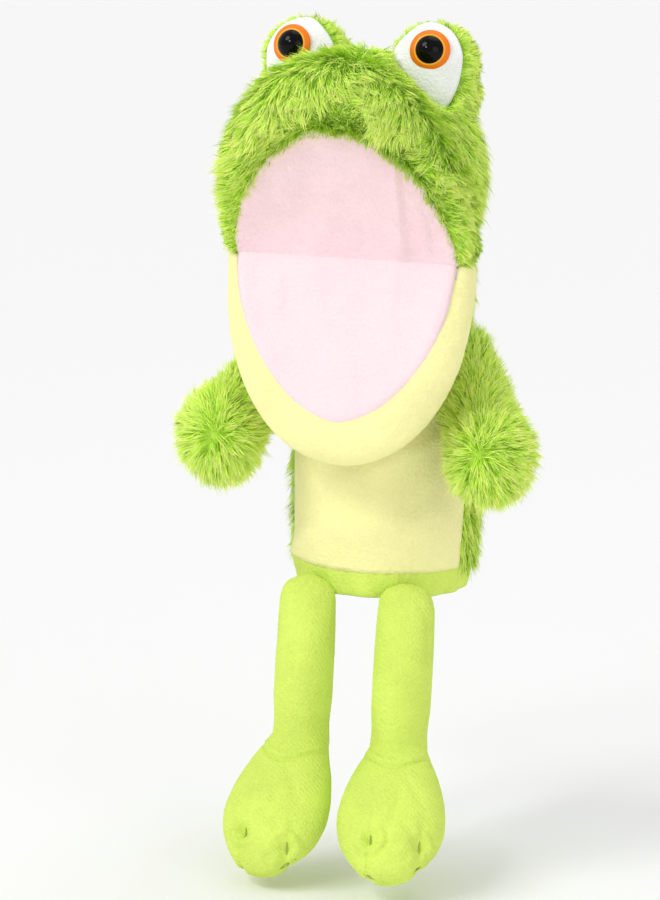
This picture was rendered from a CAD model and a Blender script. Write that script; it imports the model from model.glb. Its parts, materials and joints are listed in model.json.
"""Plush frog hand puppet: every cloth, pile and moulded piece of it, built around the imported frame."""

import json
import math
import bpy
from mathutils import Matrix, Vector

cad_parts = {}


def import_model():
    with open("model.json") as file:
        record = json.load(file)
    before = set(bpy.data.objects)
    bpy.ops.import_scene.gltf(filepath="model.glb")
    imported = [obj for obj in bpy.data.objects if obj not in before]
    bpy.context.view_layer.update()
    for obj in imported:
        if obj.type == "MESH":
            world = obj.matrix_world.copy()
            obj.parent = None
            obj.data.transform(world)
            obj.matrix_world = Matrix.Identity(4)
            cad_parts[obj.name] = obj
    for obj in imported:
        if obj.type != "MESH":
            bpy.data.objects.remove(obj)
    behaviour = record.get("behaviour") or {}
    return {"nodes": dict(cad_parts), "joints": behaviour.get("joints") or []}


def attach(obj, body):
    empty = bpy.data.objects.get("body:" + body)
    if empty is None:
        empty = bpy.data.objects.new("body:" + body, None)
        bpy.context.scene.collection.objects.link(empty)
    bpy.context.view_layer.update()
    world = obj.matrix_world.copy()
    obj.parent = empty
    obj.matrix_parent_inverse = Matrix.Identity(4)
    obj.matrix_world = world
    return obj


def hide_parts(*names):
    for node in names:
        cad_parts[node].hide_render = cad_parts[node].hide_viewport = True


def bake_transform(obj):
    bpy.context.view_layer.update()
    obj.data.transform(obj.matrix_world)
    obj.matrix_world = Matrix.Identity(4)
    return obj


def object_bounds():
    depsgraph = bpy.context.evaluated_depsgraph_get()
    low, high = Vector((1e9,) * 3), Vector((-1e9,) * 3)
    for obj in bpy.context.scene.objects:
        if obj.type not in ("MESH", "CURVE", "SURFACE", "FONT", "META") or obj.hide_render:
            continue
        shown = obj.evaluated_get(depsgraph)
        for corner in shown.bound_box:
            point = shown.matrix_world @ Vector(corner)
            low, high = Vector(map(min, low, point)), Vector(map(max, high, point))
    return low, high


bl_info = {
    "name": "Frog Hand Puppet",
    "version": (1, 0, 0),
    "blender": (4, 5, 0),
    "location": "View3D > Sidebar > Puppet",
    "description": "Builds a plush frog hand puppet with real fur, stuffed limbs and safety eyes",
    "category": "Object",
}

import bmesh
import bpy
import numpy as np
from mathutils import Matrix, Vector
from mathutils.bvhtree import BVHTree

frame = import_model()
CAD_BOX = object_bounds()
JOINTS = {j["name"]: j for j in frame["joints"]}

MM = 0.001
SIDES = {"left": -1.0, "right": 1.0}

# Fur: fibres to a tuft, fibres to a piece, and a fibre's width at steps along its length.
FIBRES_IN_TUFT = 7
FIBRES_IN_PIECE = 38000
FIBRE_STEPS = ((0.0, 0.85), (0.42, 1.0), (0.76, 0.62), (1.0, 0.0))
FIBRE_POINTS = 7

# A wave texture repeats once in this share of its scale's inverse.
WAVE_PITCH = 0.31

# The muzzle's arch is half an oval on the upper mouth plate.
MUZZLE_HALF_WIDTH = 0.0545
MUZZLE_START = 0.002
MUZZLE_LENGTH = 0.0795
HEAD_FRONT = -0.0185
FINE_VOXEL = 0.0018

# The torso narrows from its waist to its shoulders and leans forward over that height.
WAIST = 0.045
WAIST_TO_SHOULDER = 0.105
TORSO_LEAN = 0.027
HEM_TOP = 0.013
BELLY_SIDE = math.radians(80)
RIM_SLOPE = math.tan(math.radians(26))
PLUSH_THICKNESS = 0.0022
NAPE_FROM = math.radians(50)
THROAT_ANGLE = 1.3

# Lamps: where each shines from, its strength and how many degrees wide it is.
LAMPS = {"key": ((-0.62, -0.62, 0.80), 1.02, 28), "fill": ((0.85, -0.75, 0.25), 0.40, 40),
         "top": ((0.10, 0.30, 1.00), 0.45, 45)}
FLOOR_GAP = 0.004
FLOOR_HALF = 40.0
CAMERA_AZIMUTH, CAMERA_ELEVATION, CAMERA_ROLL = (math.radians(a) for a in (17, 10, 1.7))
CAMERA_DISTANCE = 1.57
CAMERA_FIELD = math.radians(16.3)
CAMERA_AIM = (-0.0280, 0.0645)

# Both jaws turn about the mouth's fold. Each has a local frame there: across, out along its
# mouth plate, and front, which points out of the open mouth.
FOLD = np.array(JOINTS["upper_jaw_hinge"]["pos_m"])
UPPER_ANGLE = math.radians(66)
LOWER_ANGLE = math.radians(84)
UPPER_AXES = np.array([(1, 0, 0), (0, -math.cos(UPPER_ANGLE), math.sin(UPPER_ANGLE)),
                       (0, -math.sin(UPPER_ANGLE), -math.cos(UPPER_ANGLE))])
LOWER_AXES = np.array([(1, 0, 0), (0, -math.cos(LOWER_ANGLE), -math.sin(LOWER_ANGLE)),
                       (0, -math.sin(LOWER_ANGLE), math.cos(LOWER_ANGLE))])

EYE_LOOK = Vector((0.12, -0.97, 0.2)).normalized()
# How far each foot droops and how far its toes turn out, in degrees.
FOOT_POSE = {"left": (48.0, 7.0), "right": (42.0, 11.0)}


# ---------------------------------------------------------------- settings
def colour(label, words, value):
    return bpy.props.FloatVectorProperty(name=label, description=words, default=value, size=3,
                                         min=0.0, max=1.0, subtype="COLOR")


def size(label, words, millimetres):
    return bpy.props.FloatProperty(name=label, description=words, default=millimetres * MM,
                                   min=0.0, unit="LENGTH")


class PuppetColours(bpy.types.PropertyGroup):
    fur_root: colour("Fur root", "Long pile deep between the tufts", (0.44, 0.75, 0.050))
    fur_mid: colour("Fur", "Long pile along most of its length", (0.60, 0.94, 0.085))
    fur_tip: colour("Fur tip", "Long pile at its bleached tips", (0.82, 0.97, 0.25))
    velour: colour("Legs and feet", "Short lime pile", (0.66, 0.84, 0.135))
    lip: colour("Lip and belly", "Short pale yellow pile", (0.95, 0.91, 0.42))
    palate_upper: colour("Upper palate", "Brushed pink cloth", (0.97, 0.71, 0.75))
    palate_lower: colour("Lower palate", "Brushed pink cloth, paler", (0.97, 0.74, 0.78))
    eye_white: colour("Eye patch", "Short white pile", (0.93, 0.93, 0.93))
    iris: colour("Iris", "Moulded orange ring", (0.93, 0.21, 0.003))
    iris_line: colour("Iris line", "Thin light line round the pupil", (0.96, 0.42, 0.03))
    lining: colour("Lining", "Woven cloth inside the sleeve", (0.30, 0.50, 0.09))


class PuppetSizes(bpy.types.PropertyGroup):
    fur_length: size("Fur length", "Length of the long pile", 9.5)
    short_fur: size("Eye fur length", "Length of the pile on the eye mounds", 6.0)
    fibre_width: size("Fibre width", "Width of one lock of fibres at its root", 0.40)
    voxel: size("Voxel", "Grid on which stuffed shapes are joined", 2.2)
    fur_density: bpy.props.FloatProperty(
        name="Fur density", description="Tufts for each square centimetre", default=31.0, min=1.0)


def colours():
    return bpy.context.scene.puppet_colours


def sizes():
    return bpy.context.scene.puppet_sizes


# ---------------------------------------------------------------- materials
def principled(name, base, roughness, sheen=0.0, sheen_tint=None):
    """A new node material and its shader."""
    m = bpy.data.materials.new(name)
    m.use_nodes = True
    shader = m.node_tree.nodes["Principled BSDF"]
    shader.inputs["Base Color"].default_value = (*base, 1.0)
    shader.inputs["Roughness"].default_value = roughness
    shader.inputs["Sheen Weight"].default_value = sheen
    shader.inputs["Sheen Roughness"].default_value = 0.45
    if sheen_tint:
        shader.inputs["Sheen Tint"].default_value = (*sheen_tint, 1.0)
    m.diffuse_color = (*base, 1.0)
    return m, shader


def node(material, kind, **inputs):
    made = material.node_tree.nodes.new(kind)
    for key, value in inputs.items():
        made.inputs[key.replace("_", " ")].default_value = value
    return made


def link(material, out, into):
    material.node_tree.links.new(out, into)


def texture(material, kind, **inputs):
    """A texture node that lies on the object's own coordinates."""
    made = node(material, kind, **inputs)
    place = node(material, "ShaderNodeTexCoord")
    link(material, place.outputs["Object"], made.inputs["Vector"])
    return made


def bump(material, height, strength, distance, under=None):
    """A bump of some height output, laid over another bump. Comes back as its normal."""
    made = node(material, "ShaderNodeBump", Strength=strength, Distance=distance)
    link(material, height, made.inputs["Height"])
    if under:
        link(material, under, made.inputs["Normal"])
    return made.outputs["Normal"]


def shade(base, factor):
    return tuple(min(1.0, c * factor) for c in base)


def pile_cloth(name, base, nap=0.55, nap_scale=900.0, patch_scale=38.0, contrast=0.16, sheen=0.35,
               rows=0.0):
    """Short brushed pile: fine nap, soft patches where it lies another way, and sheen. rows is the
    pitch of the knit below, where it shows."""
    m, shader = principled(name, base, 0.92, sheen, shade(base, 1.25))
    patches = texture(m, "ShaderNodeTexNoise", Scale=patch_scale, Detail=3.0, Roughness=0.6)
    fibres = texture(m, "ShaderNodeTexNoise", Scale=nap_scale, Detail=4.0, Roughness=0.7)
    blend = node(m, "ShaderNodeMath")
    blend.operation = "MULTIPLY_ADD"
    blend.inputs[1].default_value = 0.45
    link(m, fibres.outputs["Fac"], blend.inputs[0])
    half = node(m, "ShaderNodeMath")
    half.operation = "MULTIPLY"
    half.inputs[1].default_value = 0.55
    link(m, patches.outputs["Fac"], half.inputs[0])
    link(m, half.outputs[0], blend.inputs[2])
    ramp = node(m, "ShaderNodeValToRGB")
    ramp.color_ramp.elements[0].position = 0.36
    ramp.color_ramp.elements[0].color = (*shade(base, 1.0 - contrast), 1.0)
    ramp.color_ramp.elements[1].position = 0.64
    ramp.color_ramp.elements[1].color = (*shade(base, 1.0 + contrast * 0.6), 1.0)
    link(m, blend.outputs[0], ramp.inputs["Fac"])
    link(m, ramp.outputs["Color"], shader.inputs["Base Color"])
    brushed = bump(m, patches.outputs["Fac"], 0.35, 0.0016)
    pile = texture(m, "ShaderNodeTexVoronoi", Scale=nap_scale * 0.75)
    surface = bump(m, pile.outputs["Distance"], nap, 0.0006, brushed)
    if rows:
        knit = texture(m, "ShaderNodeTexWave", Scale=WAVE_PITCH / rows, Distortion=3.0, Detail=2.0)
        knit.bands_direction = "DIAGONAL"
        surface = bump(m, knit.outputs["Fac"], 0.22, 0.0005, surface)
    link(m, surface, shader.inputs["Normal"])
    return m


def woven_cloth(name, base, pitch=0.0007):
    """Plain weave: warp and weft ridges with a slightly uneven colour."""
    m, shader = principled(name, base, 0.85, 0.15)
    scale = WAVE_PITCH / pitch
    warp, weft = (texture(m, "ShaderNodeTexWave", Scale=scale, Distortion=0.4, Detail=1.0)
                  for _ in range(2))
    weft.bands_direction = "Z"
    both = node(m, "ShaderNodeMath")
    both.operation = "MAXIMUM"
    link(m, warp.outputs["Fac"], both.inputs[0])
    link(m, weft.outputs["Fac"], both.inputs[1])
    ramp = node(m, "ShaderNodeValToRGB")
    ramp.color_ramp.elements[0].color = (*shade(base, 0.78), 1.0)
    ramp.color_ramp.elements[1].color = (*shade(base, 1.08), 1.0)
    link(m, both.outputs[0], ramp.inputs["Fac"])
    link(m, ramp.outputs["Color"], shader.inputs["Base Color"])
    link(m, bump(m, both.outputs[0], 0.5, 0.0003), shader.inputs["Normal"])
    return m


def moulded(name, base, roughness, grain=0.05, coat=0.0, gloss=0.5):
    """Moulded plastic: nearly smooth, with faint flow marks in its gloss."""
    m, shader = principled(name, base, roughness)
    shader.inputs["Specular IOR Level"].default_value = gloss
    shader.inputs["Coat Weight"].default_value = coat
    shader.inputs["Coat Roughness"].default_value = 0.03
    flow = texture(m, "ShaderNodeTexNoise", Scale=160.0, Detail=2.0)
    link(m, bump(m, flow.outputs["Fac"], grain, 0.0002), shader.inputs["Normal"])
    return m


_made = {}


def material(name):
    """One of the puppet's finishes, made the first time it is asked for."""
    if name not in _made:
        _made[name] = FINISHES[name](name, colours())
    return _made[name]


FINISHES = {
    "fur_ground": lambda n, c: pile_cloth(n, shade(c.fur_mid, 0.72), nap_scale=420.0, contrast=0.35),
    "lime_velour": lambda n, c: pile_cloth(n, c.velour, nap_scale=1100.0, contrast=0.12, rows=0.0016),
    "yellow_plush": lambda n, c: pile_cloth(n, c.lip, nap_scale=800.0, contrast=0.08),
    "pink_upper": lambda n, c: pile_cloth(n, c.palate_upper, nap_scale=850.0, contrast=0.09,
                                          rows=0.0015),
    "pink_lower": lambda n, c: pile_cloth(n, c.palate_lower, nap_scale=850.0, contrast=0.05),
    "white_pile": lambda n, c: pile_cloth(n, c.eye_white, nap_scale=900.0, contrast=0.05),
    "green_lining": lambda n, c: woven_cloth(n, c.lining),
    "label_ribbon": lambda n, c: woven_cloth(n, (0.86, 0.86, 0.84), pitch=0.0004),
    "green_thread": lambda n, c: woven_cloth(n, shade(c.velour, 0.55), pitch=0.0005),
    "mouth_board": lambda n, c: moulded(n, (0.70, 0.66, 0.58), 0.6, grain=0.4),
    "iris": lambda n, c: moulded(n, c.iris, 0.32, gloss=0.3),
    "iris_line": lambda n, c: moulded(n, c.iris_line, 0.30, gloss=0.3),
    "pupil": lambda n, c: moulded(n, (0.0005, 0.0005, 0.0005), 0.03, grain=0.0, gloss=0.16),
    "washer": lambda n, c: moulded(n, (0.80, 0.80, 0.78), 0.45),
}


def fur_materials():
    """Root, middle and tip shades of the long pile, each in two dye lots."""
    c = colours()
    made = []
    for part, base in (("root", c.fur_root), ("mid", c.fur_mid), ("tip", c.fur_tip)):
        for lot, factor in (("a", 1.0), ("b", 1.22)):
            name = f"fur_{part}_{lot}"
            if name not in _made:
                m, shader = principled(name, shade(base, factor), 0.78, 0.25, shade(base, 1.5))
                shader.inputs["Specular IOR Level"].default_value = 0.25
                _made[name] = m
            made.append(_made[name])
    return made


# ---------------------------------------------------------------- mesh tools
def world(points, axes, origin=FOLD):
    """Points given across, out and front of a jaw, in metres, brought into the puppet's frame."""
    return origin + np.asarray(points, float) @ axes


def put(name, data):
    """Put a new object with this data in the scene."""
    obj = bpy.data.objects.new(name, data)
    bpy.context.scene.collection.objects.link(obj)
    return obj


def local_to(points, axes, origin=FOLD):
    """Points of the puppet's frame, given across, out and front of a local one."""
    return (points - origin) @ axes.T


def new_piece(name, vertices, faces, materials):
    mesh = bpy.data.meshes.new(name)
    mesh.from_pydata([tuple(v) for v in vertices], [], faces)
    mesh.update()
    for m in materials:
        mesh.materials.append(m)
    mesh.polygons.foreach_set("use_smooth", [True] * len(mesh.polygons))
    return put(name, mesh)


def grid_faces(rows, columns, closed=False, first=0):
    """Quads over rows of points. A closed grid joins the last column to the first."""
    stride = columns if closed else columns + 1
    faces = []
    for i in range(rows):
        low = first + i * stride
        high = low + stride
        for k in range(columns):
            n = (k + 1) % stride
            faces.append((low + k, low + n, high + n, high + k))
    return faces


def keep_modified(obj):
    """Make the modifiers' result the piece's own mesh."""
    bpy.context.view_layer.update()
    graph = bpy.context.evaluated_depsgraph_get()
    mesh = bpy.data.meshes.new_from_object(obj.evaluated_get(graph))
    old = obj.data
    obj.modifiers.clear()
    obj.data = mesh
    mesh.name = obj.name
    bpy.data.meshes.remove(old)
    mesh.polygons.foreach_set("use_smooth", [True] * len(mesh.polygons))
    return obj


def relax(obj, rounds):
    """Even out a piece's small bumps."""
    smooth = obj.modifiers.new("relax", "SMOOTH")
    smooth.factor = 0.5
    smooth.iterations = rounds


def thicken(obj, thickness, offset=-1.0):
    """Give a sheet of cloth its thickness: inward, or half each way at an offset of 0."""
    thick = obj.modifiers.new("cloth", "SOLIDIFY")
    thick.thickness = thickness
    thick.offset = offset
    return keep_modified(obj)


def blob(name, balls, materials, voxel, smoothing=6):
    """Join ellipsoids, each (centre, half sizes, turn), into one stuffed shape with soft valleys."""
    bm = bmesh.new()
    for centre, half, turn in balls:
        place = Matrix.Translation(Vector(centre)) @ turn.to_4x4() @ Matrix.Diagonal((*half, 1.0))
        bmesh.ops.create_icosphere(bm, subdivisions=4, radius=1.0, matrix=place)
    mesh = bpy.data.meshes.new(name)
    bm.to_mesh(mesh)
    bm.free()
    for m in materials:
        mesh.materials.append(m)
    obj = put(name, mesh)
    remesh = obj.modifiers.new("join", "REMESH")
    remesh.mode = "VOXEL"
    remesh.voxel_size = voxel
    remesh.use_smooth_shade = True
    relax(obj, smoothing)
    return keep_modified(obj)


def coordinates(mesh):
    co = np.empty(len(mesh.vertices) * 3)
    mesh.vertices.foreach_get("co", co)
    return co.reshape(-1, 3)


def vertex_normals(mesh):
    no = np.empty(len(mesh.vertices) * 3)
    mesh.vertices.foreach_get("normal", no)
    return no.reshape(-1, 3)


def surface_tree(obj):
    """A piece's surface, ready for ray casts."""
    return BVHTree.FromPolygons([v.co[:] for v in obj.data.vertices],
                                [p.vertices[:] for p in obj.data.polygons])


def move_vertices(obj, co):
    obj.data.vertices.foreach_set("co", np.asarray(co, float).ravel())
    obj.data.update()


def inflate(obj, pressure=4.0, cap=0.004, frames=20, voxel=0.005, levels=1):
    """Puff a stuffed piece as cloth over filling, then take the wrinkles into its mesh."""
    scene = bpy.context.scene
    remesh = obj.modifiers.new("grid", "REMESH")
    remesh.mode = "VOXEL"
    remesh.voxel_size = voxel
    keep_modified(obj)
    before = coordinates(obj.data)
    cloth = obj.modifiers.new("cloth", "CLOTH")
    cloth.settings.use_pressure = True
    cloth.settings.uniform_pressure_force = pressure
    cloth.settings.effector_weights.gravity = 0.0
    cloth.settings.quality = 4
    cloth.collision_settings.use_collision = False
    cloth.collision_settings.use_self_collision = False
    for number in range(1, frames + 1):
        scene.frame_set(number)
    graph = bpy.context.evaluated_depsgraph_get()
    puffed = bpy.data.meshes.new_from_object(obj.evaluated_get(graph))
    after = coordinates(puffed)
    scene.frame_set(1)
    obj.modifiers.clear()
    step = after - before
    length = np.maximum(np.linalg.norm(step, axis=1, keepdims=True), 1e-9)
    move_vertices(obj, before + step * np.minimum(1.0, cap / length))
    bpy.data.meshes.remove(puffed)
    finer = obj.modifiers.new("finer", "SUBSURF")
    finer.levels = levels
    return keep_modified(obj)


def waves(points, seed, scale):
    """A smooth swirling field of vectors, the same each run."""
    rng = np.random.default_rng(seed)
    out = np.zeros_like(points)
    for k in range(5):
        direction = rng.normal(size=(3, 3)) * scale * (1 + 0.6 * k)
        phase = rng.uniform(0, 2 * math.pi, 3)
        out += np.sin(points @ direction.T + phase) / (1 + 0.5 * k)
    return out / 2.2


def unit(v):
    return v / np.maximum(np.linalg.norm(v, axis=1, keepdims=True), 1e-9)


def grow_fur(ground, name, comb, where=None, length=None, density=None, lean=0.55, seed=1,
             droop=0.25, trim=None):
    """Tufts of tapered fibres over a piece: comb gives the lie of the pile, where thins it out
    and trim shortens it. Comes back as pieces of at most FIBRES_IN_PIECE fibres."""
    s = sizes()
    length = length or s.fur_length
    rng = np.random.default_rng(seed)
    mesh = ground.data
    mesh.calc_loop_triangles()
    tri = np.empty(len(mesh.loop_triangles) * 3, int)
    mesh.loop_triangles.foreach_get("vertices", tri)
    tri = tri.reshape(-1, 3)
    co, no = coordinates(mesh), vertex_normals(mesh)
    a, b, c = co[tri[:, 0]], co[tri[:, 1]], co[tri[:, 2]]
    area = 0.5 * np.linalg.norm(np.cross(b - a, c - a), axis=1)
    middle, facing = (a + b + c) / 3, unit(no[tri].sum(1))
    share = np.ones(len(tri)) if where is None else np.clip(where(middle, facing), 0, 1)
    weight = area * share
    tufts = int(weight.sum() * 1e4 * (density or s.fur_density))
    pick = rng.choice(len(tri), tufts, p=weight / weight.sum())
    u, v = rng.uniform(size=(2, tufts))
    fold = u + v > 1
    u[fold], v[fold] = 1 - u[fold], 1 - v[fold]
    w = 1 - u - v
    root = a[pick] * w[:, None] + b[pick] * u[:, None] + c[pick] * v[:, None]
    normal = unit(no[tri[pick, 0]] * w[:, None] + no[tri[pick, 1]] * u[:, None]
                  + no[tri[pick, 2]] * v[:, None])
    swirl = waves(root, seed + 50, 110.0)
    lie = comb(root, normal) + 0.55 * swirl
    lie -= normal * (lie * normal).sum(1, keepdims=True)
    jitter = rng.normal(size=(tufts, 3)) * 0.22
    direction = unit(normal * (1 - lean) + unit(lie) * lean + jitter)
    tuft_length = length * rng.uniform(0.75, 1.15, tufts)
    if trim is not None:
        tuft_length = tuft_length * trim(root)

    per = FIBRES_IN_TUFT
    n = tufts * per
    root = np.repeat(root, per, 0)
    normal = np.repeat(normal, per, 0)
    lie = np.repeat(unit(lie), per, 0)
    direction = np.repeat(direction, per, 0)
    reach = np.repeat(tuft_length, per) * rng.uniform(0.70, 1.05, n)
    spread = rng.normal(size=(n, 3))
    spread -= normal * (spread * normal).sum(1, keepdims=True)
    spread *= length * 0.14
    tip_spread = rng.normal(size=(n, 3)) * length * 0.075
    side = unit(unit(np.cross(direction, normal)) + 0.45 * rng.normal(size=(n, 3)))
    side = unit(side - direction * (side * direction).sum(1, keepdims=True))
    flat = np.cross(side, direction)
    side *= np.where((flat * normal).sum(1, keepdims=True) < 0, -1.0, 1.0)
    flat = np.cross(side, direction)
    width = s.fibre_width * rng.uniform(0.7, 1.2, n)
    bend = lie * 0.30 + np.array((0.0, 0.0, -droop)) - direction * 0.10

    rows = []
    for t, thick in FIBRE_STEPS:
        centre = (root - normal * 0.0006 + direction * (reach * t)[:, None]
                  + bend * (reach * t * t)[:, None] + spread * (1 - 0.65 * t) + tip_spread * t)
        half = side * (0.5 * width * thick)[:, None]
        rows += [centre] if thick == 0.0 else [centre - half, centre + half]
    points = np.stack(rows, 1)
    lot = np.repeat(rng.uniform(size=tufts) < 0.38, per).astype(int)
    layer = np.stack([lot, 2 + lot, 4 + lot], 1)
    pale = rng.uniform(size=n) < 0.20
    layer[pale, 1] = 4
    deep = rng.uniform(size=n) < 0.22
    layer[deep, 2] = 3
    soft = unit(0.62 * normal + 0.38 * flat + 0.10 * rng.normal(size=(n, 3)))
    lots = math.ceil(n / FIBRES_IN_PIECE)
    order = rng.permutation(n)
    return [fibre_piece(name if lots == 1 else f"{name}_{k + 1}", points[part], layer[part], soft[part])
            for k, part in enumerate(np.array_split(order, lots))]


def fibre_piece(name, points, layer, soft):
    """One mesh of fibres, each of seven points in three bands from root to tip."""
    n = len(points)
    base = np.arange(n)[:, None] * FIBRE_POINTS
    quads = np.concatenate([base + np.array((0, 1, 3, 2)), base + np.array((2, 3, 5, 4))], 1)
    loops = np.concatenate([quads, base + np.array((4, 5, 6))], 1).ravel()
    starts = (np.arange(n)[:, None] * 11 + np.array((0, 4, 8))).ravel()
    fibres = bpy.data.meshes.new(name)
    fibres.vertices.add(n * FIBRE_POINTS)
    fibres.vertices.foreach_set("co", points.ravel())
    fibres.loops.add(len(loops))
    fibres.loops.foreach_set("vertex_index", loops.astype(np.int32))
    fibres.polygons.add(3 * n)
    fibres.polygons.foreach_set("loop_start", starts.astype(np.int32))
    for m in fur_materials():
        fibres.materials.append(m)
    fibres.polygons.foreach_set("material_index", layer.ravel().astype(np.int32))
    fibres.update(calc_edges=True)
    fibres.polygons.foreach_set("use_smooth", [True] * len(fibres.polygons))
    fibres.normals_split_custom_set_from_vertices(np.repeat(soft, FIBRE_POINTS, 0).tolist())
    return put(name, fibres)


def mount(obj, body, replaced=()):
    """Fasten a finished piece to its body and say what it stands for."""
    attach(obj, body)
    if replaced:
        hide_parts(*replaced)
    return obj


def mount_fur(fur, body):
    for piece in fur:
        mount(piece, body)


NO_TURN = Matrix.Identity(3)


def jaw_turn(axes):
    """The turn that lays a ball along a local frame."""
    return Matrix(axes.tolist()).transposed()


# ---------------------------------------------------------------- head
def arch_ball(angle, half_width, out_start, out_len, front, thin, thick, power=2.0):
    """One ball of the padded roll round a jaw, at an angle from its middle."""
    x = half_width * math.sin(angle)
    out = out_start + out_len * math.cos(angle)
    r = thin + (thick - thin) * max(0.0, math.cos(angle)) ** power
    return (x, out, front), r


def near_eyes(p):
    """Pile is cut shorter just below the eyes, so that they look out over it."""
    cut = np.ones(len(p))
    for side in SIDES.values():
        axes, middle = eye_axes(side)
        away = np.linalg.norm(p - world((0, -0.004, 0.018), axes, middle), axis=1)
        cut = np.minimum(cut, 0.40 + 0.60 * np.clip((away - 0.018) / 0.014, 0, 1))
    return cut


class PUPPET_OT_head(bpy.types.Operator):
    """Build the back of the head and its long pile"""
    bl_idname = "puppet.head"
    bl_label = "Head"

    def execute(self, context):
        turn = jaw_turn(UPPER_AXES)
        centre = world((0, 0.031, -0.027), UPPER_AXES)
        nape = world((0, 0.010, -0.048), UPPER_AXES)
        balls = [(centre, (0.0585, 0.0570, 0.056), turn), (nape, (0.046, 0.034, 0.034), turn)]
        skull = blob("head_plush", balls, [material("fur_ground")], sizes().voxel)
        local = local_to(coordinates(skull.data), UPPER_AXES)
        ahead = local[:, 2] - HEAD_FRONT
        local[:, 2] = np.minimum(local[:, 2], HEAD_FRONT + 0.12 * np.tanh(ahead))
        move_vertices(skull, world(local, UPPER_AXES))
        sink_under_patches(skull)
        self.hand_hole(skull)
        mount(skull, "head", ("head_cover", "head_stuffing"))

        def comb(p, n):
            away = p - centre
            return unit(away * np.array((0.6, 0.9, 0.2))) * 0.5 + np.array((0, 0.35, -0.75))

        def where(p, n):
            local = local_to(p, UPPER_AXES)
            behind = local[:, 2] < -0.016
            outer = (local[:, 1] > -0.012) | (p[:, 1] > -0.055)
            bare = np.zeros(len(p), bool)
            for side in SIDES.values():
                axes, middle = eye_axes(side)
                seen = local_to(p, axes, middle)
                bare |= inside_edge(seen[:, :2], patch_edge(side) * 1.03) & (seen[:, 2] > -0.020)
            hole = (n[:, 2] < -0.2) & (np.abs(p[:, 0]) < 0.037) & (p[:, 1] < -0.021)
            return (behind & outer & ~bare & ~hole).astype(float)

        fur = grow_fur(skull, "head_fur", comb, where, seed=11, trim=near_eyes)
        mount_fur(fur, "head")
        return {"FINISHED"}

    def hand_hole(self, skull):
        """Open the stuffing where the hand passes from the sleeve into the finger pocket."""
        bm = bmesh.new()
        place = Matrix.Translation((0, -0.051, 0.154)) @ Matrix.Diagonal((0.074, 0.060, 0.062, 1))
        bmesh.ops.create_cube(bm, size=1.0, matrix=place)
        bmesh.ops.bevel(bm, geom=bm.edges[:], offset=0.016, segments=5, affect="EDGES")
        mesh = bpy.data.meshes.new("hand_space")
        bm.to_mesh(mesh)
        bm.free()
        cutter = put("hand_space", mesh)
        cut = skull.modifiers.new("hole", "BOOLEAN")
        cut.operation = "DIFFERENCE"
        cut.object = cutter
        keep_modified(skull)
        bpy.data.objects.remove(cutter)
        bpy.data.meshes.remove(mesh)


class PUPPET_OT_muzzle(bpy.types.Operator):
    """Build the padded arch round the upper mouth and its long pile"""
    bl_idname = "puppet.muzzle"
    bl_label = "Muzzle"

    def execute(self, context):
        turn = jaw_turn(UPPER_AXES)
        balls = []
        for angle in np.linspace(-math.pi / 2, math.pi / 2, 41):
            (x, out, _), r = arch_ball(angle, MUZZLE_HALF_WIDTH, MUZZLE_START, MUZZLE_LENGTH, 0.0,
                                       0.0060, 0.0166, power=2.3)
            deep = max(r, 0.0115)
            place = (x, out, 0.0002 + 0.098 * out - deep)
            balls.append((world(place, UPPER_AXES), (r, r, deep), turn))
        arch = blob("muzzle_plush", balls, [material("fur_ground")], FINE_VOXEL, smoothing=4)
        sink_under_patches(arch)
        mount(arch, "head", ("muzzle_cover", "muzzle_stuffing"))
        middle = world((0, 0.035, -0.010), UPPER_AXES)

        def comb(p, n):
            local = local_to(p, UPPER_AXES)
            over = np.clip((local[:, 1] - 0.045) / 0.03, 0, 1)[:, None]
            outward = unit((p - middle) * np.array((1.0, 0.3, 0.4)))
            down = np.array((0, -0.45, -0.42)) * (0.30 + 0.70 * over)
            return outward * (1 - 0.6 * over) + down

        def trim(p):
            local = local_to(p, UPPER_AXES)
            inner = 1 - 0.35 * (self.from_middle(local) < 1.0)
            return (0.42 + 0.58 * np.clip(local[:, 1] / 0.045, 0, 1)) * inner * near_eyes(p)

        def where(p, n):
            local = local_to(p, UPPER_AXES)
            inside = (self.from_middle(local) < 0.92) & (local[:, 2] < 0.03 * local[:, 1] - 0.008)
            behind = local[:, 2] < -0.021
            return 1.0 - (inside | behind)

        fur = grow_fur(arch, "muzzle_fur", comb, where, seed=21, density=sizes().fur_density * 1.2,
                       trim=trim, droop=0.12)
        mount_fur(fur, "head")
        return {"FINISHED"}

    def from_middle(self, local):
        """How far points lie from the mouth's middle, with the arch itself at 1."""
        across = local[:, 0] / MUZZLE_HALF_WIDTH
        out = (local[:, 1] - MUZZLE_START) / MUZZLE_LENGTH
        return np.sqrt(across ** 2 + out ** 2)


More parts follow.
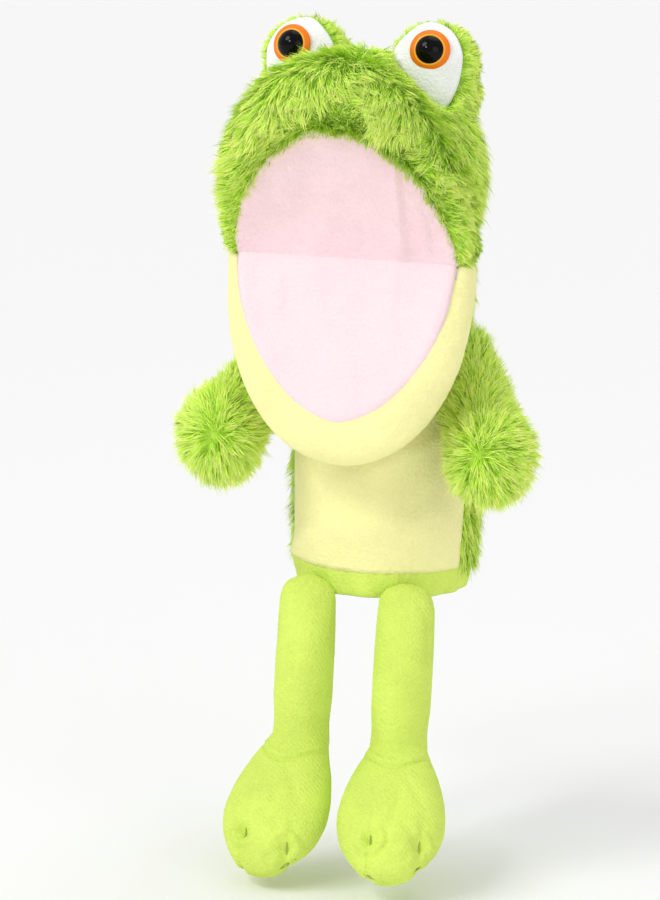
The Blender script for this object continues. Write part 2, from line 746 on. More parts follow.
def palate(name, axes, half_width, length, finish, folds, taper=1.0):
    """A brushed cloth half-oval, sunk a little, turned up at its sewn edge, with pressed folds."""
    rings, spokes = 44, 120
    vertices, faces = [(0.0, 0.0, 0.0)], []
    for i in range(1, rings + 1):
        r = i / rings
        for k in range(spokes + 1):
            angle = math.pi * k / spokes
            across = math.copysign(abs(math.cos(angle)) ** taper, math.cos(angle))
            x, out = half_width * r * across, length * r * math.sin(angle)
            hollow = math.sin(math.pi * min(1.0, out / length)) * (1 - (x / half_width) ** 2)
            rise = -0.0011 * max(0.0, hollow)
            rise += 0.0016 * min(1.0, max(0.0, (r - 0.72) / 0.22)) ** 2 * min(1.0, out / 0.010)
            rise -= 0.0016 * max(0.0, (r - 0.95) / 0.05) ** 2
            for at, lean, width, depth, reach in folds:
                line = x - at - lean * out
                fade = min(1.0, out / 0.012) * max(0.0, 1 - (out / reach) ** 2)
                ridge = math.exp(-((line / (width * (1.6 if line < 0 else 0.6))) ** 2))
                rise += depth * ridge * fade
            vertices.append((x, out - 0.0009, -0.0004 + rise))
    for k in range(spokes):
        faces.append((0, 1 + k, 2 + k))
    for i in range(1, rings):
        low, high = 1 + (i - 1) * (spokes + 1), 1 + i * (spokes + 1)
        for k in range(spokes):
            faces.append((low + k, high + k, high + k + 1, low + k + 1))
    obj = new_piece(name, world(vertices, axes), faces, [material(finish)])
    return thicken(obj, 0.0011, offset=0.0)


# A palate's half width, length, finish and pressed folds. A fold has its place across, its lean,
# its width, its height and how far out it reaches.
PALATES = {
    "upper": (0.0540, 0.0700, "pink_upper", [
        (0.0290, -0.02, 0.0024, 0.0034, 0.064), (0.0425, -0.14, 0.0020, 0.0020, 0.036),
        (-0.0300, 0.30, 0.0045, 0.0009, 0.040)]),
    "lower": (0.0530, 0.0785, "pink_lower", [
        (-0.034, 0.10, 0.0040, 0.0011, 0.036), (0.024, -0.05, 0.0050, 0.0009, 0.045)]),
}
LOWER_TAPER = 1.18


class PUPPET_OT_palates(bpy.types.Operator):
    """Build the pink cloth of the open mouth"""
    bl_idname = "puppet.palates"
    bl_label = "Palates"

    def execute(self, context):
        upper = palate("upper_palate_cloth", UPPER_AXES, *PALATES["upper"])
        mount(upper, "head", ("upper_palate", "mouth_fold"))
        lower = palate("lower_palate_cloth", LOWER_AXES, *PALATES["lower"], taper=LOWER_TAPER)
        mount(lower, "lower_jaw", ("lower_palate",))
        return {"FINISHED"}


class PUPPET_OT_jaw(bpy.types.Operator):
    """Build the yellow lip, chin and throat of the lower jaw"""
    bl_idname = "puppet.jaw"
    bl_label = "Lower jaw"

    def execute(self, context):
        turn = jaw_turn(LOWER_AXES)
        balls = [(world((0, 0.038, -0.0130), LOWER_AXES), (0.056, 0.052, 0.0090), turn)]
        for angle in np.linspace(-math.pi / 2, math.pi / 2, 41):
            place, r = arch_ball(angle, 0.0565, 0.003, 0.0830, -0.0098, 0.0056, 0.0124, power=1.6)
            balls.append((world(place, LOWER_AXES), (r, r, max(r * 0.92, 0.0102)), turn))
        for angle in np.linspace(-1.50, 1.50, 41):
            x, out = 0.0480 * math.sin(angle), 0.004 + 0.0680 * math.cos(angle) ** 1.2
            balls.append((world((x, out, -0.0085), LOWER_AXES), (0.0085, 0.0085, 0.0080), turn))
        lip = blob("jaw_plush", balls, [material("yellow_plush")], FINE_VOXEL, smoothing=5)
        inflate(lip, pressure=3.0, cap=0.0016, voxel=0.0026)
        mount(lip, "lower_jaw", ("lip_cover", "throat_cover", "jaw_stuffing"))
        return {"FINISHED"}


# ---------------------------------------------------------------- eyes
# The front of one mound, and how far behind it the mound's middle lies.
EYE_FACE = (0.0335, -0.0660, 0.2672)
MOUND_DEPTH = 0.018
EYE_SEAT = 0.0176
EYE_RIM = 0.0095
# The moulded ring, as a radius short of the rim and a height above its seat.
IRIS_RING = ((0.0002, 0.0), (0.0, 0.0006), (0.0004, 0.0012), (0.0012, 0.0017), (0.0015, 0.0021),
             (0.0022, 0.0024), (0.0024, 0.0025), (0.0027, 0.0026), (0.0035, 0.0024))


def eye_axes(side):
    """Across, up and look of one eye, and the middle of its mound."""
    look = Vector((side * EYE_LOOK.x, EYE_LOOK.y, EYE_LOOK.z))
    across = (Vector((1, 0, 0)) - look * look.x).normalized()
    up = look.cross(across).normalized()
    face = Vector((side * EYE_FACE[0], EYE_FACE[1], EYE_FACE[2]))
    middle = face - look * MOUND_DEPTH
    return np.array([across, up, look]), np.array(middle)


def lathe(name, profile, axes, origin, materials, bands, steps=72):
    """Turn a profile of (radius, height) about an eye's line of sight."""
    vertices = []
    for r, h in profile:
        for k in range(steps):
            angle = 2 * math.pi * k / steps
            vertices.append((r * math.cos(angle), r * math.sin(angle), h))
    faces = grid_faces(len(profile) - 1, steps, closed=True)
    index = [bands[k // steps] for k in range(len(faces))]
    last = (len(profile) - 1) * steps
    faces += [tuple(reversed(range(steps))), tuple(range(last, last + steps))]
    index += [bands[0], bands[-1]]
    obj = new_piece(name, world(vertices, axes, origin), faces, materials)
    obj.data.polygons.foreach_set("material_index", index)
    return obj


def dome_profile(base_r, rise, level, count=14):
    """A shallow dome's profile from its edge at a level to its top."""
    r = (base_r ** 2 + rise ** 2) / (2 * rise)
    edge = math.asin(base_r / r)
    return [(r * math.sin(edge * (1 - i / count)) if i < count else 0.00005,
             level + rise - r + r * math.cos(edge * (1 - i / count))) for i in range(count + 1)]


# Corners of the right white patch, across and up, in millimetres.
PATCH_EDGE = ((-1.4, 14.6), (-9.6, 11.0), (-18.0, 0.2), (-14.0, -8.6), (-3.8, -18.2), (7.4, -26.5),
              (12.6, -18.0), (14.6, -7.2), (14.0, 1.4), (8.4, 10.4))


def patch_edge(side, count=96):
    """The white patch's edge, a rounded kite: corners to the nose, the cheek and the crown."""
    corners = np.array(PATCH_EDGE) * MM
    corners[:, 0] *= side
    n = len(corners)
    points = []
    for k in range(count):
        at = n * k / count
        i, t = int(at), at % 1.0
        p = [corners[(i + j) % n] for j in (-1, 0, 1, 2)]
        spline = 0.5 * (2 * p[1] + (p[2] - p[0]) * t + (2 * p[0] - 5 * p[1] + 4 * p[2] - p[3]) * t ** 2
                        + (3 * p[1] - p[0] - 3 * p[2] + p[3]) * t ** 3)
        points.append(spline)
    points = np.array(points)
    return points if side < 0 else points[::-1]


def patch_cap(x, y):
    """Height of the rounded surface the white patch never rises above."""
    flat = (x / 0.026) ** 2 + ((y + 0.004) / 0.032) ** 2
    return 0.0182 * np.sqrt(np.clip(1 - flat, 0.05, 1))


def sink_under_patches(obj):
    """Press a piece in where a white patch is sewn over it."""
    co = coordinates(obj.data)
    for side in SIDES.values():
        axes, middle = eye_axes(side)
        local = local_to(co, axes, middle)
        below = inside_edge(local[:, :2], patch_edge(side) * 1.12) & (local[:, 2] > 0)
        deepest = patch_cap(local[:, 0], local[:, 1]) - 0.0014
        local[:, 2] = np.where(below, np.minimum(local[:, 2], deepest), local[:, 2])
        co = world(local, axes, middle)
    move_vertices(obj, co)


def inside_edge(points, edge):
    """Which points lie within a closed outline."""
    x, y = points[:, 0], points[:, 1]
    within = np.zeros(len(points), bool)
    for (x0, y0), (x1, y1) in zip(edge, np.roll(edge, -1, 0)):
        crosses = (y0 > y) != (y1 > y)
        span = y1 - y0 if y1 != y0 else 1e-12
        within ^= crosses & (x < (x1 - x0) * (y - y0) / span + x0)
    return within


class PUPPET_OT_eyes(bpy.types.Operator):
    """Build the furry eye mounds, white patches and safety eyes"""
    bl_idname = "puppet.eyes"
    bl_label = "Eyes"

    def execute(self, context):
        for name, side in SIDES.items():
            axes, middle = eye_axes(side)
            turn = jaw_turn(axes)

            def spot(x, y, z):
                return world((x * side, y, z), axes, middle)

            mound = blob(f"eye_mound_plush_{name}", [
                (spot(0, -0.004, 0), (0.0190, 0.0185, 0.0180), turn),
                (spot(0.004, -0.016, -0.004), (0.0165, 0.0165, 0.0185), turn),
                (spot(-0.004, -0.010, -0.012), (0.0180, 0.0170, 0.0170), turn)],
                [material("fur_ground")], FINE_VOXEL, smoothing=4)
            mount(mound, "head", (f"eye_mound_{name}",))
            edge = patch_edge(side)
            self.patch(name, edge, axes, middle, mound)
            self.fur(name, edge, axes, middle, mound)
            self.safety_eye(name, axes, middle)
        return {"FINISHED"}

    def patch(self, name, edge, axes, middle, mound):
        """White cloth laid over the mound, turned in at its edge."""
        trees = [surface_tree(below) for below in (mound, bpy.data.objects["head_plush"])]
        ahead = Vector(axes[2])
        rings, spokes = 24, len(edge)
        centre = np.array((0.0, -0.003))
        flat, heights = [], []
        for i in range(rings + 1):
            for x, y in centre + (edge - centre) * (i / rings):
                start = Vector(world((x, y, 0.06), axes, middle))
                hits = [t.ray_cast(start, -ahead)[0] for t in trees]
                depth = max((0.06 - (start - hit).length for hit in hits if hit), default=np.nan)
                depth = min(depth, float(patch_cap(x, y)) - 0.0012)
                flat.append((x, y))
                heights.append(depth)
        heights = np.array(heights).reshape(rings + 1, spokes)
        for i in range(1, rings + 1):
            steep = heights[i - 1] - 0.0028
            missed = np.isnan(heights[i]) | (heights[i] < steep)
            heights[i] = np.where(missed, steep, heights[i])
        laid = heights.copy()
        for _ in range(40):
            around = (np.roll(heights, 1, 1) + np.roll(heights, -1, 1)) / 2
            along = (heights[np.minimum(np.arange(rings + 1) + 1, rings)]
                     + heights[np.maximum(np.arange(rings + 1) - 1, 0)]) / 2
            heights = np.maximum(0.25 * heights + 0.25 * around + 0.5 * along, laid - 0.0004)
        rows = np.arange(rings + 1)[:, None] / rings
        heights = heights + 0.0017 * np.sqrt(np.clip(1.02 - rows ** 6, 0, 1))
        vertices = [(x, y, z) for (x, y), z in zip(flat, heights.ravel())]
        obj = new_piece(f"eye_patch_cloth_{name}", world(vertices, axes, middle),
                        grid_faces(rings, spokes, closed=True), [material("white_pile")])
        thicken(obj, 0.0014, offset=0.0)
        relax(obj, 4)
        keep_modified(obj)
        mount(obj, "head", (f"eye_patch_{name}",))

    def fur(self, name, edge, axes, middle, mound):
        """Short pile over the mound, combed away from the patch."""
        inner = edge * 0.95

        def comb(p, n):
            local = local_to(p, axes, middle)
            ring = local * np.array((1, 1, 0))
            return unit(ring) @ axes + np.array((0, 0.55, 0.1))

        def where(p, n):
            local = local_to(p, axes, middle)
            return 1.0 - (inside_edge(local[:, :2], inner) & (local[:, 2] > -0.006))

        fur = grow_fur(mound, f"eye_fur_{name}", comb, where, length=sizes().short_fur,
                       density=sizes().fur_density * 1.9, seed=31 if name == "left" else 32,
                       droop=0.05)
        mount_fur(fur, "head")

    def safety_eye(self, name, axes, middle):
        """The moulded orange ring with its light line, and the black dome."""
        iris = [(EYE_RIM - inward, EYE_SEAT + height) for inward, height in IRIS_RING]
        bands = [0, 0, 0, 0, 0, 1, 1, 1]
        ring = lathe(f"eye_iris_ring_{name}", iris, axes, middle,
                     [material("iris"), material("iris_line")], bands)
        mount(ring, "head", (f"eye_iris_{name}",))
        dome = [(0.0064, EYE_SEAT + 0.0016)] + dome_profile(0.0067, 0.0038, EYE_SEAT + 0.0023)
        pupil = lathe(f"eye_pupil_dome_{name}", dome, axes, middle, [material("pupil")],
                      [0] * (len(dome) - 1))
        mount(pupil, "head", (f"eye_pupil_{name}",))


# ---------------------------------------------------------------- torso
# Soft folds of the sleeve: angle, lean, height, width and depth.
TORSO_FOLDS = ((0.55, 0.020, 0.062, 0.0060, 0.0022), (-0.45, -0.016, 0.084, 0.0055, 0.0020),
               (0.15, 0.010, 0.034, 0.0065, 0.0016), (1.15, -0.024, 0.120, 0.0070, 0.0022),
               (-1.10, 0.026, 0.046, 0.0070, 0.0020))


def narrowing(z):
    """0 up to the waist and 1 from the shoulders up."""
    return min(1.0, max(0.0, (z - WAIST) / WAIST_TO_SHOULDER))


def torso_section(z, angle, extra=0.0):
    """A point of the sleeve's outside. The angle is 0 at the front and goes round by the side."""
    t = narrowing(z)
    belly = math.sin(math.pi * min(1.0, max(0.0, z / 0.100)))
    half_w = (0.0425 + 0.0025 * belly) * (1 - t) + 0.041 * t
    half_d = (0.0425 + 0.0025 * belly) * (1 - t) + 0.030 * t
    front = max(0.0, math.cos(angle))
    half_d += 0.002 * belly * front
    y = -TORSO_LEAN * t
    gather = 0.0006 * math.sin(16 * angle) * math.exp(-((z / 0.012) ** 2))
    for at, lean, height, width, depth in TORSO_FOLDS:
        line = z - height - lean * (angle if angle < math.pi else angle - 2 * math.pi)
        turn = (angle - at + math.pi) % (2 * math.pi) - math.pi
        gather += depth * math.exp(-((line / width) ** 2) - (turn / 0.75) ** 2)
    return np.array(((half_w + extra + gather) * math.sin(angle),
                     y - (half_d + extra + gather) * math.cos(angle), z))


def sleeve_rim(angle):
    """Height of the sleeve's top edge, which slopes down to the back."""
    y = torso_section(0.14, angle)[1]
    return 0.170 - RIM_SLOPE * (y - FOLD[1])


class PUPPET_OT_torso(bpy.types.Operator):
    """Build the sleeve: belly, furry back, bound hem and lining"""
    bl_idname = "puppet.torso"
    bl_label = "Torso"

    def panel(self, name, start, end, finish):
        """One side panel of the sleeve, tucked in along its two side seams."""
        rows, columns = 60, 90
        vertices = []
        for i in range(rows + 1):
            for k in range(columns + 1):
                angle = start + (end - start) * k / columns
                top = sleeve_rim(angle)
                z = HEM_TOP + (top - HEM_TOP) * i / rows
                edge = min(k, columns - k) / columns
                tuck = -0.0016 * math.exp(-((edge / 0.018) ** 2))
                vertices.append(torso_section(z, angle, tuck))
        obj = new_piece(name, vertices, grid_faces(rows, columns), [material(finish)])
        return thicken(obj, PLUSH_THICKNESS)

    def execute(self, context):
        belly = self.panel("belly_cloth", -BELLY_SIDE, BELLY_SIDE, "yellow_plush")
        mount(belly, "torso", ("belly_panel",))
        back = self.panel("back_plush", BELLY_SIDE, 2 * math.pi - BELLY_SIDE, "fur_ground")
        mount(back, "torso", ("body_back",))

        def comb(p, n):
            return np.tile((0.0, 0.0, -1.0), (len(p), 1))

        def where(p, n):
            out = p - np.array((0, -0.012, 0))
            return ((n * out).sum(1) > 0).astype(float)

        fur = grow_fur(back, "back_fur", comb, where, seed=41, length=sizes().fur_length * 0.9)
        mount_fur(fur, "torso")
        self.hem()
        self.lining()
        self.label()
        return {"FINISHED"}

    def hem(self):
        """A rolled binding with a row of stitches round the hand opening."""
        steps, ring = 160, 14
        vertices, faces = [], []
        for k in range(steps):
            angle = 2 * math.pi * k / steps
            for j in range(ring):
                turn = 2 * math.pi * j / ring
                z = 0.0072 + 0.0068 * math.cos(turn)
                bulge = 0.0013 * math.sin(turn)
                stitch = 0.0005 * math.sin(40 * angle) * math.exp(-(((z - 0.0115) / 0.0016) ** 2))
                vertices.append(torso_section(max(z, 0.0), angle, -0.0010 + bulge - stitch))
                vertices[-1][2] = z
        for k in range(steps):
            for j in range(ring):
                a, b = k * ring, ((k + 1) % steps) * ring
                faces.append((a + j, b + j, b + (j + 1) % ring, a + (j + 1) % ring))
        obj = new_piece("hem_binding", vertices, faces, [material("lime_velour")])
        mount(obj, "torso", ("hem_band",))

    def lining(self):
        """The woven lining, slightly puckered, just inside the panels."""
        rows, columns = 50, 120
        vertices = []
        for i in range(rows + 1):
            for k in range(columns):
                angle = 2 * math.pi * k / columns
                z = 0.0004 + (sleeve_rim(angle) - 0.002) * i / rows
                t = narrowing(z)
                pucker = 0.0004 * math.sin(9 * angle + 40 * z)
                half_w = 0.0388 * (1 - t) + 0.0378 * t + pucker
                half_d = 0.0388 * (1 - t) + 0.0268 * t + pucker
                vertices.append((half_w * math.sin(angle),
                                 -TORSO_LEAN * t - half_d * math.cos(angle), z))
        faces = [(a, d, c, b) for a, b, c, d in grid_faces(rows, columns, closed=True)]
        obj = new_piece("sleeve_lining", vertices, faces, [material("green_lining")])
        thicken(obj, 0.0008)
        mount(obj, "torso", ("body_lining",))

    def label(self):
        """A blank satin care label, caught in the hem at the back."""
        vertices = []
        rows, columns = 14, 8
        for i in range(rows + 1):
            for k in range(columns + 1):
                x = -0.008 + 0.016 * k / columns
                z = 0.006 - 0.018 * i / rows
                y = 0.0440 + 0.0012 * math.sin(2.2 * i / rows) + 0.0003 * math.sin(6 * k / columns)
                vertices.append((x, y, z))
        obj = new_piece("care_label", vertices, grid_faces(rows, columns), [material("label_ribbon")])
        thicken(obj, 0.0006)
        mount(obj, "torso", ("sewn_in_label",))


def neck_point(t, angle):
    """A point of the neck's cloth: t goes from the sleeve's rim (0) up into the head (1)."""
    low = torso_section(sleeve_rim(angle) - 0.006, angle, 0.0012)
    in_head = world((0.043 * math.sin(angle), 0.012, -0.040), UPPER_AXES)
    in_head[1] -= 0.024 * math.cos(angle)
    in_head[2] += -0.006 * math.cos(angle)
    bow = math.sin(math.pi * t) * 0.0035
    out = np.array((math.sin(angle), -math.cos(angle), 0.0))
    return low * (1 - t) + in_head * t + out * bow


class PUPPET_OT_neck(bpy.types.Operator):
    """Build the cloth that joins the sleeve to the head and to the jaw"""
    bl_idname = "puppet.neck"
    bl_label = "Neck"

    def sheet(self, name, point, angles, rows, finish):
        """A sheet of cloth through point(t, angle), with t from 0 at its low edge to 1."""
        vertices = [point(i / rows, angle) for i in range(rows + 1) for angle in angles]
        return new_piece(name, vertices, grid_faces(rows, len(angles) - 1), [material(finish)])

    def execute(self, context):
        round_back = np.linspace(NAPE_FROM, 2 * math.pi - NAPE_FROM, 110)
        nape = self.sheet("nape_plush", neck_point, round_back, 26, "fur_ground")

        def comb(p, n):
            return np.tile((0.0, 0.1, -1.0), (len(p), 1))

        fur = grow_fur(nape, "nape_fur", comb, None, seed=51, length=sizes().fur_length * 0.9)
        for piece in (nape, *fur):
            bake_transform(piece)

        def throat_point(t, angle):
            low = torso_section(0.118, angle, 0.0008)
            side_ward = math.sin(angle) / math.sin(THROAT_ANGLE)
            high = world((0.047 * side_ward, 0.016 - 0.010 * side_ward ** 2, -0.0190), LOWER_AXES)
            sag = math.sin(math.pi * t)
            return low * (1 - t) + high * t + np.array((0, 0.002, 0.0)) * sag

        across_front = np.linspace(-THROAT_ANGLE, THROAT_ANGLE, 64)
        throat = self.sheet("throat_cloth", throat_point, across_front, 24, "yellow_plush")
        thicken(throat, 0.0014)
        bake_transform(throat)
        return {"FINISHED"}


# ---------------------------------------------------------------- arms
# The left arm hangs a little further out than the right one.
ARM_REACH = {"left": 0.069, "right": 0.0655}
ARM_BARE_TO = 0.038


class PUPPET_OT_arms(bpy.types.Operator):
    """Build the two short furry arms"""
    bl_idname = "puppet.arms"
    bl_label = "Arms"

    def execute(self, context):
        for name, side in SIDES.items():
            paw = np.array((side * ARM_REACH[name], -0.048, 0.080))
            inner = np.array((side * 0.041, -0.022, 0.120))
            balls = []
            for t in np.linspace(0, 1, 10):
                r = 0.0125 + 0.0032 * t
                balls.append((inner * (1 - t) + paw * t, (r, r, r * 1.05), NO_TURN))
            tip = paw + np.array((0, -0.003, -0.002))
            balls.append((tip, (0.0180, 0.0165, 0.0215), NO_TURN))
            arm = blob(f"arm_plush_{name}", balls, [material("fur_ground")], sizes().voxel, 6)
            mount(arm, f"arm_{name}", (f"arm_cover_{name}", f"arm_stuffing_{name}"))
            pole = tip + np.array((-side * 0.001, -0.018, 0.002))

            def comb(p, n, pole=pole):
                away = unit(p - pole)
                return away * 1.2 + np.array((0, 0, -0.15))

            def where(p, n, side=side):
                return 1.0 - (side * p[:, 0] < ARM_BARE_TO)

            fur = grow_fur(arm, f"arm_fur_{name}", comb, where, seed=61 + int(side), lean=0.50,
                           density=sizes().fur_density * 1.35, droop=0.1)
            mount_fur(fur, f"arm_{name}")
        return {"FINISHED"}


# ---------------------------------------------------------------- legs and feet
LEG_RADIUS = 0.0150
ANKLE_NARROWING = 0.0012

# A foot's outline: how far out from the ankle, half its width and half its thickness.
FOOT_OUTLINE = np.array((
    (-0.001, 0.0140, 0.0152), (0.008, 0.0175, 0.0158), (0.017, 0.0220, 0.0164), (0.028, 0.0255, 0.0168),
    (0.039, 0.0272, 0.0165), (0.049, 0.0258, 0.0152), (0.056, 0.0215, 0.0134), (0.0610, 0.0165, 0.0112)))
# Two pinches to a foot: their place across and out, and the turn of their swirl.
PINCHES = {"left": ((-0.0075, 0.0560, 2.6), (0.0140, 0.0590, -0.4)),
           "right": ((-0.0080, 0.0555, 1.2), (0.0150, 0.0560, 0.3))}
# Creases on a foot's top: their place across, their lean and their place out.
CREASES = ((-0.010, 0.7, 0.034), (0.011, -0.6, 0.030), (0.003, 0.2, 0.041))


class PUPPET_OT_legs(bpy.types.Operator):
    """Build the dangling stuffed legs"""
    bl_idname = "puppet.legs"
    bl_label = "Legs"

    def execute(self, context):
        for name, side in SIDES.items():
            hip = np.array(JOINTS[f"hip_{name}"]["pos_m"])
            ankle = np.array(JOINTS[f"ankle_{name}"]["pos_m"])
            top = hip + np.array((0, 0.006, 0.019))
            balls = [(top, (0.0145, 0.006, 0.008), NO_TURN)]
            for t in np.linspace(0.05, 1.0, 14):
                spot = top * (1 - t) + ankle * t
                r = LEG_RADIUS - ANKLE_NARROWING * math.exp(-(((t - 0.86) / 0.08) ** 2))
                depth = r * (0.55 + 0.45 * min(1.0, t / 0.35))
                balls.append((spot, (r, depth, 0.012), NO_TURN))
            leg = blob(f"leg_velour_{name}", balls, [material("lime_velour")], 0.0024, 6)
            inflate(leg, pressure=3.5, cap=0.0018, voxel=0.003)
            co = coordinates(leg.data)
            side_line = np.abs(co[:, 1] - hip[1])
            seam = 0.0009 * np.exp(-((side_line / 0.0014) ** 2))
            inward = unit((co - ankle) * np.array((1, 1, 0)))
            co = co - inward * seam[:, None] * (side * (co[:, 0] - hip[0]) > 0)[:, None]
            move_vertices(leg, co)
            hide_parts(f"leg_cover_{name}", f"leg_stuffing_{name}")
            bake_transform(leg)
        return {"FINISHED"}


class PUPPET_OT_feet(bpy.types.Operator):
    """Build the padded feet with their pinched toes"""
    bl_idname = "puppet.feet"
    bl_label = "Feet"

    def execute(self, context):
        for name, side in SIDES.items():
            droop, toe_out = (math.radians(a) for a in FOOT_POSE[name])
            ankle = np.array(JOINTS[f"ankle_{name}"]["pos_m"])
            toes = np.array((side * math.sin(toe_out) * math.cos(droop),
                             -math.cos(toe_out) * math.cos(droop), -math.sin(droop)))
            across = np.array((math.cos(toe_out), side * math.sin(toe_out), 0.0))
            top = np.cross(toes, across)
            if top[2] < 0:
                top = -top
            axes = np.array([across, toes, top])
            turn = jaw_turn(axes)
            balls = []
            for out in np.linspace(FOOT_OUTLINE[0, 0], FOOT_OUTLINE[-1, 0], 30):
                half_w, half_t = (np.interp(out, FOOT_OUTLINE[:, 0], FOOT_OUTLINE[:, k]) for k in (1, 2))
                balls.append((world((0, out, 0), axes, ankle), (half_w, 0.0125, half_t), turn))
            foot = blob(f"foot_velour_{name}", balls, [material("lime_velour")], 0.0022, 8)
            inflate(foot, pressure=4.0, cap=0.0026, voxel=0.0030, levels=2)
            self.shape(foot, axes, ankle, name)
            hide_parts(f"foot_cover_{name}", f"foot_stuffing_{name}")
            self.stitches(foot, name, axes, ankle)
            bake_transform(foot)
        return {"FINISHED"}

    def shape(self, foot, axes, ankle, name):
        """Press in the ankle seam, the sole's seam and the two gathered pinches between the toes."""
        co = coordinates(foot.data)
        local = local_to(co, axes, ankle)
        x, out, up = local[:, 0], local[:, 1], local[:, 2]
        above = np.clip(up / 0.004, 0, 1)
        line = out - 0.0175 + 45 * x ** 2
        up -= 0.0013 * np.exp(-((line / 0.0012) ** 2)) * above
        up += 0.0007 * np.exp(-(((line + 0.0026) / 0.0018) ** 2)) * above
        for px, po, swirl in PINCHES[name]:
            dx, dout = x - px, out - po
            d = np.hypot(dx, dout)
            angle = np.arctan2(dout, dx)
            up -= 0.0042 * np.exp(-((d / 0.0034) ** 2)) * np.sign(up)
            coil = d - 0.0062 - 0.0011 * (angle - swirl) / math.pi
            turn = 0.5 + 0.5 * np.cos(angle - swirl)
            up += 0.0013 * np.exp(-((coil / 0.0013) ** 2)) * turn * above
            up -= 0.0010 * np.exp(-(((coil - 0.0026) / 0.0012) ** 2)) * turn * above
            slit = np.exp(-((dx / 0.0018) ** 2)) * np.clip((dout + 0.001) / 0.006, 0, 1)
            up -= 0.0014 * slit * np.sign(up)
            out -= 0.0009 * slit
            rays = np.cos(7 * angle + swirl) * np.exp(-(((d - 0.0085) / 0.0050) ** 2))
            up += 0.00045 * rays * above
        for at, lean, reach in CREASES:
            fold = (x - at) * math.cos(lean) + (out - reach) * math.sin(lean)
            along = -(x - at) * math.sin(lean) + (out - reach) * math.cos(lean)
            up -= 0.0008 * np.exp(-((fold / 0.0022) ** 2) - (along / 0.0095) ** 2) * above
        rim = np.exp(-((up / 0.0010) ** 2)) * (out > 0.012)
        local[:, 0] -= 0.0006 * rim * np.sign(x)
        local[:, 1], local[:, 2] = out - 0.0005 * rim, up
        move_vertices(foot, world(local, axes, ankle))

    def stitches(self, foot, name, axes, ankle):
        """Short thread bars lying in the pinches, on top and on the sole."""
        tree = surface_tree(foot)
        vertices, faces = [], []
        steps, ring = 10, 8
        for px, po, _ in PINCHES[name]:
            for way in (1.0, -1.0):
                base = len(vertices)
                for i in range(steps + 1):
                    t = i / steps
                    above = Vector(world((px, po - 0.0030 + 0.006 * t, 0.03 * way), axes, ankle))
                    hit = tree.ray_cast(above, Vector(axes[2]) * -way)[0]
                    spot = np.array(hit) + axes[2] * way * 0.0011 * (math.sin(math.pi * t) - 0.75)
                    for j in range(ring):
                        a = 2 * math.pi * j / ring
                        vertices.append(spot + 0.00055 * (axes[0] * math.cos(a) + axes[2] * math.sin(a)))
                faces += grid_faces(steps, ring, closed=True, first=base)
                faces.append(tuple(base + j for j in reversed(range(ring))))
                faces.append(tuple(base + steps * ring + j for j in range(ring)))
        obj = new_piece(f"toe_thread_{name}", vertices, faces, [material("green_thread")])
        mount(obj, f"foot_{name}", (f"toe_stitches_{name}",))


# ---------------------------------------------------------------- hidden pieces and stage
class PUPPET_OT_inside(bpy.types.Operator):
    """Finish the pieces inside: mouth boards, pockets and eye washers"""
    bl_idname = "puppet.inside"
    bl_label = "Inside pieces"

    def execute(self, context):
        finishes = {"upper_mouth_plate": "mouth_board", "lower_mouth_plate": "mouth_board",
                    "finger_pocket": "green_lining", "thumb_pocket": "green_lining",
                    "eye_washer_left": "washer", "eye_washer_right": "washer"}
        for name, finish in finishes.items():
            piece = frame["nodes"][name]
            for slot in piece.material_slots:
                slot.material = material(finish)
        return {"FINISHED"}


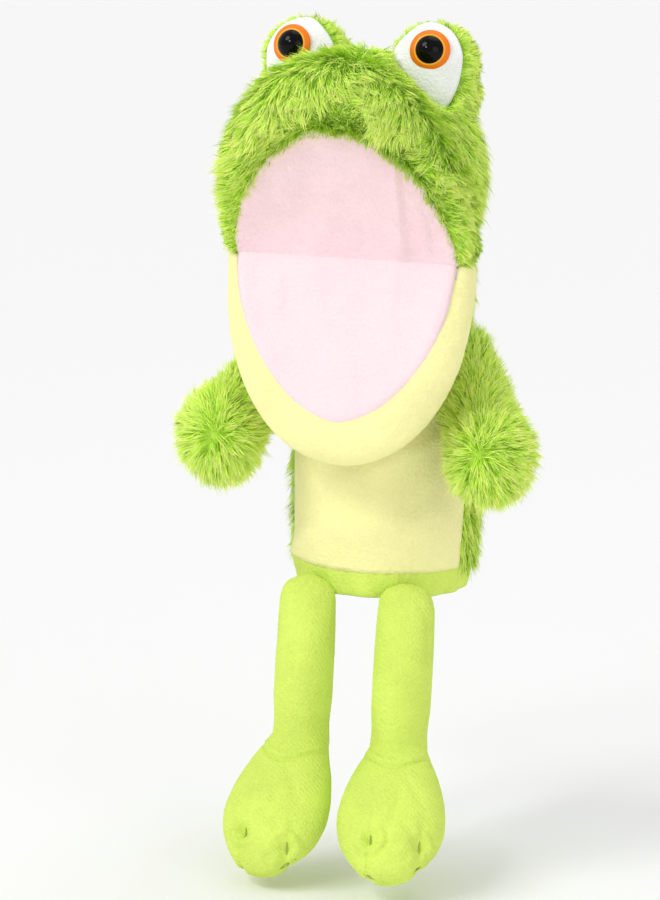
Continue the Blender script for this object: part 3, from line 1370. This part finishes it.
class PUPPET_OT_stage(bpy.types.Operator):
    """Set the pale floor, the soft lights and the camera"""
    bl_idname = "puppet.stage"
    bl_label = "Stage"

    def execute(self, context):
        scene = context.scene
        low = CAD_BOX[0][2]
        m, shader = principled("stage_paper", (0.93, 0.93, 0.93), 0.9)
        grain = node(m, "ShaderNodeTexNoise", Scale=60.0, Detail=3.0)
        link(m, bump(m, grain.outputs["Fac"], 0.05, 0.001), shader.inputs["Normal"])
        corners = [(x * FLOOR_HALF, y * FLOOR_HALF, low - FLOOR_GAP)
                   for x, y in ((-1, -1), (1, -1), (1, 1), (-1, 1))]
        floor = new_piece("stage_floor", corners, [(0, 1, 2, 3)], [m])

        sky = bpy.data.worlds.new("studio")
        sky.use_nodes = True
        sky.node_tree.nodes["Background"].inputs["Color"].default_value = (1.0, 1.0, 1.0, 1.0)
        sky.node_tree.nodes["Background"].inputs["Strength"].default_value = 0.63
        scene.world = sky
        for name, (place, power, softness) in LAMPS.items():
            lamp = bpy.data.lights.new(name, "SUN")
            lamp.energy = power
            lamp.angle = math.radians(softness)
            sun = put(name, lamp)
            sun.location = place
            sun.rotation_euler = (-Vector(place)).to_track_quat("-Z", "Y").to_euler()
        glint = bpy.data.lights.new("window", "AREA")
        glint.size, glint.energy = 0.20, 2.2
        window = put("window", glint)
        window.location = (-0.35, -1.10, 0.85)
        towards_eyes = Vector((0, -0.06, 0.20)) - window.location
        window.rotation_euler = towards_eyes.to_track_quat("-Z", "Y").to_euler()
        scene.view_settings.view_transform = "Standard"
        self.camera(scene)
        return {"FINISHED"}

    def camera(self, scene):
        """A long lens a little to one side and above, tilted slightly."""
        azimuth, elevation = CAMERA_AZIMUTH, CAMERA_ELEVATION
        right = Vector((math.cos(azimuth), math.sin(azimuth), 0))
        ahead = Vector((-math.sin(azimuth) * math.cos(elevation),
                        math.cos(azimuth) * math.cos(elevation), -math.sin(elevation)))
        up = right.cross(ahead)
        aim = right * CAMERA_AIM[0] + up * CAMERA_AIM[1]
        data = bpy.data.cameras.new("camera")
        data.sensor_fit = "VERTICAL"
        data.angle_y = CAMERA_FIELD
        data.dof.use_dof = False
        camera = put("camera", data)
        spin = Matrix.Rotation(CAMERA_ROLL, 3, "Z")
        axes = Matrix((right, up, -ahead)).transposed() @ spin
        camera.matrix_world = Matrix.Translation(aim - ahead * CAMERA_DISTANCE) @ axes.to_4x4()
        scene.camera = camera


class PUPPET_PT_panel(bpy.types.Panel):
    bl_label = "Frog puppet"
    bl_idname = "PUPPET_PT_panel"
    bl_space_type = "VIEW_3D"
    bl_region_type = "UI"
    bl_category = "Puppet"

    def draw(self, context):
        for group in (context.scene.puppet_colours, context.scene.puppet_sizes):
            for key in group.__annotations__:
                self.layout.prop(group, key)
        for step in STEPS:
            self.layout.operator(step.bl_idname)


STEPS = (PUPPET_OT_head, PUPPET_OT_muzzle, PUPPET_OT_palates, PUPPET_OT_jaw, PUPPET_OT_eyes,
         PUPPET_OT_torso, PUPPET_OT_neck, PUPPET_OT_arms, PUPPET_OT_legs, PUPPET_OT_feet,
         PUPPET_OT_inside, PUPPET_OT_stage)
CLASSES = (PuppetColours, PuppetSizes, *STEPS, PUPPET_PT_panel)


def register():
    for c in CLASSES:
        bpy.utils.register_class(c)
    bpy.types.Scene.puppet_colours = bpy.props.PointerProperty(type=PuppetColours)
    bpy.types.Scene.puppet_sizes = bpy.props.PointerProperty(type=PuppetSizes)


def unregister():
    del bpy.types.Scene.puppet_sizes
    del bpy.types.Scene.puppet_colours
    for c in reversed(CLASSES):
        bpy.utils.unregister_class(c)


def main():
    register()
    for step in STEPS:
        group, name = step.bl_idname.split(".")
        getattr(getattr(bpy.ops, group), name)()


if __name__ == "__main__":
    main()
